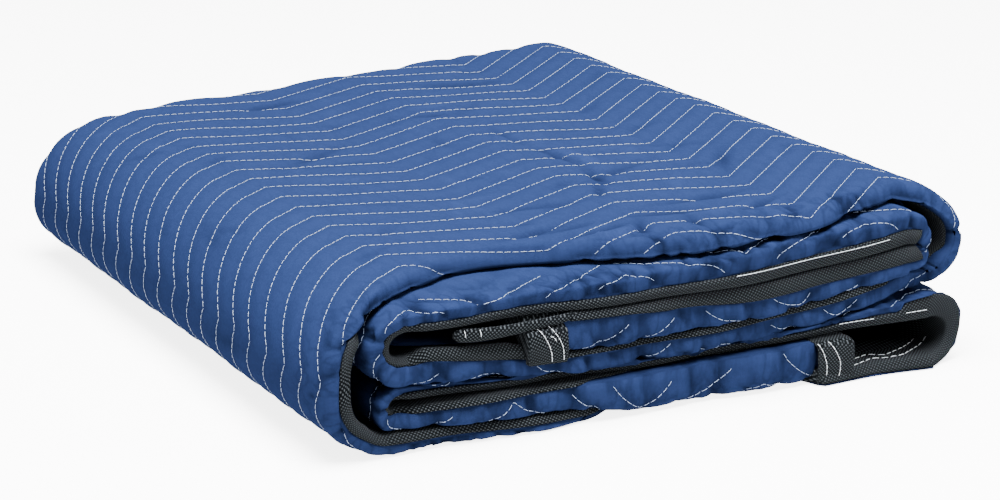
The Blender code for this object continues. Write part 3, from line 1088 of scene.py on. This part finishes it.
def build_tape(name, side):
    """The tape along one long edge, from one hem tape to the other."""
    first_x = LAYERS[0].start + HEM_CAP_LENGTH + 3 * PIECE_GAP
    last_x = LAYERS[-1].end - HEM_CAP_LENGTH - 3 * PIECE_GAP
    points, facts, rings = [], [], []
    for index, station in enumerate(STATIONS):
        in_inner_hem = station.part == "inner" and station.share < first_x
        in_lower_hem = station.part == "lower" and station.share > last_x
        if in_inner_hem or in_lower_hem:
            continue
        ring = []
        for depth, inset, across in tape_ring(station, side):
            ring.append(len(points))
            points.append(to_metres(station, depth, edge_y(station, side, inset)))
            facts.append((ALONG[index], across, 0.0))
        rings.append(ring if side < 0 else ring[::-1])
    return tape_piece(name, points, rings, facts)


front_tape = build_tape("tape_front", -1)
back_tape = build_tape("tape_back", 1)

# %% [markdown]
# Hem tapes
#
# At each hem the tape is folded over the whole end of the blanket and over its corner, so from
# the front we see a black patch as tall as the layer.

# %% Hem caps
CAP_ROUND = 3.0
CAP_LEAST_ROUND = 0.6
CAP_BULGE = 0.8
CAP_LIP = 4.2  # how far the cap reaches back under the layer, less the taper at its mouth
CAP_LIP_TAPER = 1.6
CAP_BACK_BEVEL = 1.5

# For each cap: how far it stands in front of its layer, how far its front hangs under the layer,
# and how much of its front top is cut back for the tape that runs over it
CapShape = namedtuple("CapShape", "number hem inwards forward hang shoulder")
INNER_CAP = CapShape(0, LAYERS[0].start, 1, 3.6, 4.6, 7.5)
LOWER_CAP = CapShape(len(LAYERS) - 1, LAYERS[-1].end, -1, 5.2, 6.6, 0.8)

# The rings of a cap, from inside its mouth round to the hem: how far each is inside the outline
# and how far it is from the hem
CAP_RINGS = (
    (TAPE_THICKNESS, TAPE_THICKNESS), (TAPE_THICKNESS, HEM_CAP_LENGTH),
    (0.4, HEM_CAP_LENGTH + 0.4), (0.0, HEM_CAP_LENGTH - 0.6), (0.0, 18.0), (0.0, 9.0), (0.0, 1.6),
    (0.6, 0.4), (TAPE_THICKNESS, 0.0),
)


def cap_section(station, inset, shape):
    """A rounded section round the whole layer, as (depth, y), from the front top downwards."""
    full = thickness(station)
    front = edge_y(station, -1, -shape.forward + inset)
    back = edge_y(station, 1, inset)
    low = full + shape.hang - inset
    high = shape.shoulder + inset
    lip = CAP_LIP - CAP_LIP_TAPER * inset
    corner = max(CAP_ROUND - inset, CAP_LEAST_ROUND)
    points = []
    for share in (0, 0.6):
        slope = (1 - 0.7 * share) * shape.shoulder
        points.append((inset + share * shape.shoulder, front + slope + corner))
    points += [(high + depth, front + behind) for depth, behind in quarter_turn(corner)]
    points.append(((high + low) / 2, front - CAP_BULGE))
    points += [
        (low - 2.0, front), (low, front + 1.0), (low, front + lip),
        (full - inset, front + lip + 1.0), (full - inset, back - CAP_BACK_BEVEL),
        (full - inset - CAP_BACK_BEVEL, back), (inset + CAP_BACK_BEVEL, back),
        (inset, back - CAP_BACK_BEVEL),
    ]
    return points


def build_cap(name, shape):
    """The tape that is folded over one hem."""
    points, facts, rings = [], [], []
    for inset, reach in CAP_RINGS:
        station = layer_station(shape.number, shape.hem + shape.inwards * reach)
        ring = []
        for depth, y in cap_section(station, inset, shape):
            ring.append(len(points))
            points.append(to_metres(station, depth, y))
            facts.append((reach, depth + y, 0.0))
        rings.append(ring if shape.inwards < 0 else ring[::-1])
    return tape_piece(name, points, rings, facts)


inner_cap = build_cap("tape_end_inner", INNER_CAP)
lower_cap = build_cap("tape_end_lower", LOWER_CAP)

# %% [markdown]
# The loose end of the tape
#
# At the inner hem the long tape doesn't stop at the patch. Its last stretch runs on past it as
# a flat tube, folded shut and closed with two rows of stitches.

# %% Tape tail
# Where the tube runs: x, the y and z of its middle, and its half height
TAIL = np.array((
    (-139.0, -244.0, 68.0, 3.2), (-134.0, -245.0, 67.8, 4.2), (-124.0, -245.8, 67.0, 4.1),
    (-110.0, -246.0, 66.7, 3.6), (-96.0, -245.6, 67.0, 3.2), (-80.0, -245.0, 67.8, 2.8),
    (-66.0, -244.8, 68.6, 2.6), (-57.0, -244.6, 69.8, 2.4),
))
TAIL_HALF_DEPTH = 2.2
TAIL_SIDES = 14
TAIL_RINGS = 40
TAIL_SQUARENESS = 0.7  # 1 is an ellipse, and less is a flatter tube with rounded corners
TAIL_PINCH = 0.45  # the tube loses this share of its size at its two ends
PINCH_LENGTH = 2.5


def squared(value):
    """A sine or cosine pressed outwards, with its sign kept."""
    return math.copysign(abs(value) ** TAIL_SQUARENESS, value)


def build_tail():
    """The tube as one closed mesh."""
    points, facts, rings = [], [], []
    xs = np.linspace(TAIL[0, 0], TAIL[-1, 0], TAIL_RINGS)
    for x in xs:
        y, z, half = between(x, TAIL[:, 0], TAIL[:, 1:])
        from_end = min(x - xs[0], xs[-1] - x)
        size = 1 - TAIL_PINCH * (1 - smooth(0.0, PINCH_LENGTH, from_end))
        rings.append(list(range(len(points), len(points) + TAIL_SIDES)))
        for k in range(TAIL_SIDES):
            angle = 2 * math.pi * k / TAIL_SIDES
            up = squared(math.sin(angle)) * half * size
            out = squared(math.cos(angle)) * TAIL_HALF_DEPTH * size
            points.append((x * MM, (y + out) * MM, (z + up) * MM))
            facts.append((x, up - out, 0.0))
    return tape_piece("tape_tail", points, rings, facts)


tail = build_tail()

# %% [markdown]
# White topstitching
#
# The tape is sewn down with a bright white thread. Along the edge it shows where the tape has
# turned outwards, on the two patches it runs in curved double rows, and in the open corner at
# the lower right we look down on the two rows that hold the tape.

# %% Rows of topstitching
ROW_SPACING = 1.2
ROW_START_Y = -400.0  # in front of the pile, where a row drawn from the front is cast from
ROW_START_Z = 24.0  # over the lowest layer, where a row drawn from above is cast from
ROW_LEAN = (0.87, 0.5)  # how much the tape's front faces the front, and up or down
TAPE_STEP = 2.0


def smooth_row(row):
    """More points along a row given by a few, by a curve through them."""
    row = np.array(row, float)
    along = distances(row)
    marks = np.linspace(0, along[-1], max(int(along[-1] / ROW_SPACING), 2))
    line = np.array([between(mark, along, row) for mark in marks])
    for _ in range(3):
        line[1:-1] = (line[:-2] + 2 * line[1:-1] + line[2:]) / 4
    return line


def row_on(piece, from_front, row):
    """The row cast on a piece, from the front for (x, z) points or from above for (x, y)."""
    vertices = [v.co for v in piece.data.vertices]
    tree = BVHTree.FromPolygons(vertices, [tuple(f.vertices) for f in piece.data.polygons])
    direction = Vector((0, 1, 0)) if from_front else Vector((0, 0, -1))
    run = []
    for a, b in smooth_row(row):
        start = Vector((a, ROW_START_Y, b)) if from_front else Vector((a, b, ROW_START_Z))
        place, normal, _, _ = tree.ray_cast(start * MM, direction)
        if place is None:
            continue
        if normal.dot(direction) > 0:
            normal = -normal
        run.append((np.array(place) / MM, np.array(normal)))
    return run


def row_along_tape(part, first, last, down):
    """A row on the front of an edge tape, this far from the face that it is folded over."""
    number = [layer.name for layer in LAYERS].index(part)
    run = []
    for x in np.linspace(first, last, int(abs(last - first) / TAPE_STEP) + 2):
        station = layer_station(number, float(x))
        place = to_metres(station, down, edge_y(station, -1, -0.9 * TAPE_BULGE))
        up = ROW_LEAN[1] if station.bound[1] < station.outer[1] else -ROW_LEAN[1]
        run.append((np.array(place) / MM, np.array((0.0, -ROW_LEAN[0], up))))
    return run


print("a row has a point every", ROW_SPACING, "mm")

# %% Topstitching
SEAM_STITCH = 3.6
SEAM_GAP = 0.3
TAIL_STITCH = 4.9
TAIL_GAP = 0.2
FLAP_STITCH = 4.6
FLAP_GAP = 1.6

# Rows along an edge tape: its layer, the first and last x, how far down, a stitch and a gap
TapeSeam = namedtuple("TapeSeam", "part first last down stitch gap")
TAPE_SEAMS = (
    TapeSeam("under_top", 52.0, 172.0, 8.0, SEAM_STITCH, SEAM_GAP),
    TapeSeam("hidden", 134.0, 160.0, 5.6, 3.0, 0.6),
    TapeSeam("hidden", 180.0, 196.0, 6.6, SEAM_STITCH, SEAM_GAP),
)

# Rows drawn on one piece, from the front as (x, z) or from above as (x, y)
DrawnSeam = namedtuple("DrawnSeam", "piece from_front stitch gap row")
DRAWN_SEAMS = (
    DrawnSeam(inner_cap, True, SEAM_STITCH, SEAM_GAP,
              ((-85, 66), (-80.5, 60), (-78, 55), (-76, 49), (-75.3, 41))),
    DrawnSeam(inner_cap, True, SEAM_STITCH, SEAM_GAP,
              ((-76.5, 66), (-71.5, 59), (-69, 54), (-67.8, 48), (-67.5, 41))),
    DrawnSeam(inner_cap, True, 2.4, 0.5,
              ((-77, 60), (-75, 60.6), (-73.8, 58.5), (-73, 56.5))),
    DrawnSeam(lower_cap, True, SEAM_STITCH, SEAM_GAP,
              ((112.5, 29), (117, 20), (119, 13), (119.2, 7), (117, -1))),
    DrawnSeam(lower_cap, True, SEAM_STITCH, SEAM_GAP,
              ((120.5, 29), (126.5, 20), (129, 14), (129.2, 7), (126.5, -1))),
    DrawnSeam(tail, True, TAIL_STITCH, TAIL_GAP, ((-133, 71.5), (-132.2, 68), (-132.6, 64))),
    DrawnSeam(tail, True, TAIL_STITCH, TAIL_GAP, ((-123, 70.8), (-122.2, 67.2), (-122.6, 63.2))),
    DrawnSeam(front_tape, False, FLAP_STITCH, FLAP_GAP,
              ((145, -239), (163, -234), (172, -241), (191, -234), (208, -224))),
    DrawnSeam(front_tape, False, FLAP_STITCH, FLAP_GAP,
              ((143, -248), (161, -242), (170, -246), (183, -246), (200, -237), (214, -230))),
)
seam_points, seam_faces = [], []
for seam in TAPE_SEAMS:
    row = row_along_tape(seam.part, seam.first, seam.last, seam.down)
    sew(seam_points, seam_faces, row, seam.stitch, seam.gap)
for seam in DRAWN_SEAMS:
    row = row_on(seam.piece, seam.from_front, seam.row)
    sew(seam_points, seam_faces, row, seam.stitch, seam.gap)
seams = make_mesh("topstitching", seam_points, seam_faces)
print(len(seam_points) // (THREAD_SIDES * len(THREAD_RINGS)), "topstitches")

# %% [markdown]
# Finishes
#
# Woven cloth scatters light, so none of these surfaces has a glossy layer. A painted shine would
# turn the cloth into plastic. A texture could be stretched over the model as a picture, but here
# small patterns are worked out at every point instead. All of them use the cloth's own
# coordinates, how far along it and how far across it, so that they follow the folds. The helpers
# below each add one node and name what it does.

# %% Helpers for the finishes
def new_material(name, colour):
    """A matt surface in one colour."""
    material = bpy.data.materials.new(name)
    material.use_nodes = True
    shader = material.node_tree.nodes["Principled BSDF"]
    shader.inputs["Base Color"].default_value = (*colour, 1.0)
    shader.inputs["Roughness"].default_value = 0.6
    return material, material.node_tree, shader


def cloth_coordinates(tree):
    """How far along and across the cloth every point is, and its narrow relief."""
    node = tree.nodes.new("ShaderNodeAttribute")
    node.attribute_name = "cloth_place"
    return node.outputs["Vector"]


def separate(tree, vector):
    """The three numbers of a vector, one by one."""
    node = tree.nodes.new("ShaderNodeSeparateXYZ")
    tree.links.new(vector, node.inputs["Vector"])
    return node.outputs


def stretch(tree, vector, scale, turn=0.0):
    """The same places in another scale, turned by this many degrees."""
    node = tree.nodes.new("ShaderNodeMapping")
    node.inputs["Scale"].default_value = scale
    node.inputs["Rotation"].default_value = (0.0, 0.0, math.radians(turn))
    tree.links.new(vector, node.inputs["Vector"])
    return node.outputs["Vector"]


def noise(tree, vector, scale, detail, distortion=0.0):
    """A cloudy pattern between 0 and 1."""
    node = tree.nodes.new("ShaderNodeTexNoise")
    node.inputs["Scale"].default_value = scale
    node.inputs["Detail"].default_value = detail
    node.inputs["Distortion"].default_value = distortion
    tree.links.new(vector, node.inputs["Vector"])
    return node.outputs["Fac"]


def spread(tree, value, before, after):
    """Takes the range before to the range after, and holds the ends."""
    node = tree.nodes.new("ShaderNodeMapRange")
    node.inputs["From Min"].default_value, node.inputs["From Max"].default_value = before
    node.inputs["To Min"].default_value, node.inputs["To Max"].default_value = after
    tree.links.new(value, node.inputs["Value"])
    return node


def work_out(tree, operation, first, second=None):
    """One sum, with the result of another node first and a number or a result second."""
    node = tree.nodes.new("ShaderNodeMath")
    node.operation = operation
    tree.links.new(first, node.inputs[0])
    if isinstance(second, float):
        node.inputs[1].default_value = second
    elif second is not None:
        tree.links.new(second, node.inputs[1])
    return node.outputs["Value"]


print("helpers ready")

# %% [markdown]
# Blue polyester
#
# What makes the blue face read as cloth is uneven tone. There is a fine mottle from the weave,
# there are small crinkles that run across the front edges, painted as thin lines of shade that are
# darker near the front edge, and the bottom of every wrinkle is painted darker as shade, because
# less light gets in, while ridges are painted a little lighter. Each of these is a number near 1,
# and their product darkens or lightens the one blue. A faint bump breaks up the light on the weave.

# %% Blue cloth
CLOTH_BLUE = (0.0040, 0.0070, 0.0212)
FOLD_SHADE_RANGE, FOLD_SHADE_TONES = (-2.0, 0.5), (0.42, 1.14)
CRINKLE_SCALE = (0.085, 0.04, 0.0)
CRINKLE_RANGE = (0.0, 0.08)
EDGE_SHADE_RANGE, EDGE_SHADE_TONES = (-200.0, -238.0), (0.93, 0.72)
MOTTLE_TONES = (0.78, 1.22)
cloth, tree, shader = new_material("blue_polyester", CLOTH_BLUE)
shader.inputs["Specular IOR Level"].default_value = 0.0
place = cloth_coordinates(tree)
_, across_cloth, narrow_fold = separate(tree, place)
# painted shade: grooves, creases and wrinkles are darkened and ridges lightened by their narrow relief
painted_fold_shade = spread(tree, narrow_fold, FOLD_SHADE_RANGE, FOLD_SHADE_TONES).outputs["Result"]
# painted shade: thin dark lines for small crinkles, darker towards the front edge
crinkle = noise(tree, stretch(tree, place, CRINKLE_SCALE), 1.0, 2.5, distortion=0.3)
crinkle = work_out(tree, "ABSOLUTE", work_out(tree, "SUBTRACT", crinkle, 0.5))
painted_crinkle_shade = spread(tree, crinkle, CRINKLE_RANGE, (0.0, 1.0))
darkest_crinkle_shade = spread(tree, across_cloth, EDGE_SHADE_RANGE, EDGE_SHADE_TONES).outputs["Result"]
tree.links.new(darkest_crinkle_shade, painted_crinkle_shade.inputs["To Min"])
mottle = spread(tree, noise(tree, place, 0.6, 6.0), (0.0, 1.0), MOTTLE_TONES).outputs["Result"]
mottle_and_shade = work_out(tree, "MULTIPLY", mottle, painted_fold_shade)
mottle_and_shade = work_out(tree, "MULTIPLY", mottle_and_shade, painted_crinkle_shade.outputs["Result"])
tint = tree.nodes.new("ShaderNodeMix")
tint.data_type = "RGBA"
tint.blend_type = "MULTIPLY"
tint.inputs["Factor"].default_value = 1.0
tint.inputs["A"].default_value = (*CLOTH_BLUE, 1.0)
tree.links.new(mottle_and_shade, tint.inputs["B"])
tree.links.new(tint.outputs["Result"], shader.inputs["Base Color"])
bump = tree.nodes.new("ShaderNodeBump")
bump.inputs["Strength"].default_value = 0.35
bump.inputs["Distance"].default_value = 0.0004
tree.links.new(noise(tree, place, 1.6, 3.0), bump.inputs["Height"])
tree.links.new(bump.outputs["Normal"], shader.inputs["Normal"])
blanket.data.materials.append(cloth)
print(cloth.name, len(tree.nodes), "nodes")

# %% [markdown]
# Black tape
#
# The tape is black, with a pale fleck wherever a thicker yarn crosses over. One sine wave along
# the tape times one across it is high at those crossings and low between them. The pattern is
# turned a little, so that the flecks stand in slanted rows as in a twill.

# %% Woven tape
FLECK_EVERY = (2.7, 2.2)
FLECK_TURN = 9
FLECK_RANGE = (0.15, 0.75)
TAPE_BLACK = (0.0010, 0.0012, 0.0014, 1.0)
TAPE_FLECK = (0.0160, 0.0180, 0.0200, 1.0)
tape_cloth, tree, shader = new_material("black_woven_tape", (0.004, 0.004, 0.005))
shader.inputs["Specular IOR Level"].default_value = 0.0
scale = (2 * math.pi / FLECK_EVERY[0], 2 * math.pi / FLECK_EVERY[1], 1.0)
yarns = separate(tree, stretch(tree, cloth_coordinates(tree), scale, FLECK_TURN))
along_wave, across_wave = (work_out(tree, "SINE", yarns[axis]) for axis in "XY")
crossing = work_out(tree, "MULTIPLY", along_wave, across_wave)
yarn_colour = tree.nodes.new("ShaderNodeMix")
yarn_colour.data_type = "RGBA"
yarn_colour.inputs["A"].default_value = TAPE_BLACK
yarn_colour.inputs["B"].default_value = TAPE_FLECK
fleck = spread(tree, crossing, FLECK_RANGE, (0.0, 1.0)).outputs["Result"]
tree.links.new(fleck, yarn_colour.inputs["Factor"])
tree.links.new(yarn_colour.outputs["Result"], shader.inputs["Base Color"])
for piece in (front_tape, back_tape, inner_cap, lower_cap, tail):
    piece.data.materials.append(tape_cloth)
print(tape_cloth.name, len(tree.nodes), "nodes")

# %% [markdown]
# Thread
#
# A thread is too thin to show any pattern, so one plain pale colour is enough. The quilting thread
# is given a darker colour than the brighter topstitching, as painted shade, because the thinner
# thread lies in its own shadow.

# %% Threads
for piece, name, colour in (
    # painted shade: the quilting thread's colour is darker than the topstitching's to stand for its own
    # shadow
    (quilting, "white_thread", (0.075, 0.098, 0.150)),
    (seams, "white_topstitch", (0.26, 0.28, 0.30)),
):
    thread, _, _ = new_material(name, colour)
    piece.data.materials.append(thread)
    print(piece.name, "has", name)

# %% [markdown]
# Joining the model to the imported part
#
# Every piece rides on the part's one body. The soft pieces
# stand for the solids that they replace, so that the plain solids aren't shown under them.
#
# The blanket is a cloth. Spread out, it is as long as the fold line, 2.86 m, and as wide as the
# pile is deep, 0.50 m, and the sheet was drawn from just that length and width.

# %% Pieces
for piece, slot in (
    (blanket, "quilted_cloth"), (quilting, "white_thread"), (front_tape, "woven_tape"),
    (back_tape, "woven_tape"), (inner_cap, "woven_tape"), (lower_cap, "woven_tape"),
    (tail, "woven_tape"), (seams, "white_thread"),
):
    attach(piece, "root")
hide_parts("quilted_panel")
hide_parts("binding_front")
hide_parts("binding_back")
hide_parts("binding_end_inner")
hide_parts("binding_end_lower")

# %% [markdown]
# Camera
#
# The camera's place was fitted to the photo: the outline of the pile and the quilting lines,
# which are 25 mm apart, fix the angle, the distance and the lens. A long lens from two metres
# away keeps the far edge almost as large as the near one.

# %% Camera
camera_data = bpy.data.cameras.new("camera")
camera_data.lens = 104.086
camera_data.sensor_width = 36.0
camera = bpy.data.objects.new("camera", camera_data)
camera.location = (-0.8650, -1.6838, 0.5868)
camera.rotation_euler = (math.radians(90 - 16.129), 0.0, math.radians(-27.738))
bpy.context.scene.collection.objects.link(camera)
bpy.context.scene.camera = camera
print("the camera is", round(camera.location.length, 2), "m from the middle of the pile's foot")

# %% [markdown]
# Floor and light
#
# The blanket was photographed on white with soft light from above. A white surface that is lit
# from below as well, a light table, keeps the floor pale right up to the cloth. A large light
# above gives the top its brightness and leaves the sides darker, and a weaker one from the front
# shows the tape inside the folds.

# %% Floor
FLOOR_HALF = 30  # metres
floor_corners = [(x * FLOOR_HALF, y * FLOOR_HALF, 0) for x, y in ((-1, -1), (1, -1), (1, 1), (-1, 1))]
floor = make_mesh("floor", floor_corners, [(0, 1, 2, 3)])
floor.location.z = -0.0005
paper, _, shader = new_material("white_paper", (0.38, 0.38, 0.38))
shader.inputs["Roughness"].default_value = 0.9
shader.inputs["Emission Color"].default_value = (1.0, 1.0, 1.0, 1.0)
shader.inputs["Emission Strength"].default_value = 4.5
floor.data.materials.append(paper)
print("floor", 2 * FLOOR_HALF, "m wide")

# %% Lights
world = bpy.data.worlds.new("studio")
bpy.context.scene.world = world
world.use_nodes = True
world.node_tree.nodes["Background"].inputs["Color"].default_value = (1.0, 1.0, 1.0, 1.0)
world.node_tree.nodes["Background"].inputs["Strength"].default_value = 2.2


def soft_light(name, place, target, size, power):
    """A rectangular light that faces its target."""
    data = bpy.data.lights.new(name, "AREA")
    data.shape = "RECTANGLE"
    data.size, data.size_y = size
    data.energy = power
    light = bpy.data.objects.new(name, data)
    light.location = place
    aim = Vector(target) - Vector(place)
    light.rotation_euler = aim.to_track_quat("-Z", "Y").to_euler()
    bpy.context.scene.collection.objects.link(light)
    print(name, power, "W")


soft_light("top_light", (-0.18, -0.48, 2.4), (0.0, 0.0, 0.1), (1.6, 1.6), 1120.0)
soft_light("front_light", (1.05, -1.35, 0.45), (0.15, -0.2, 0.05), (0.6, 0.5), 62.0)
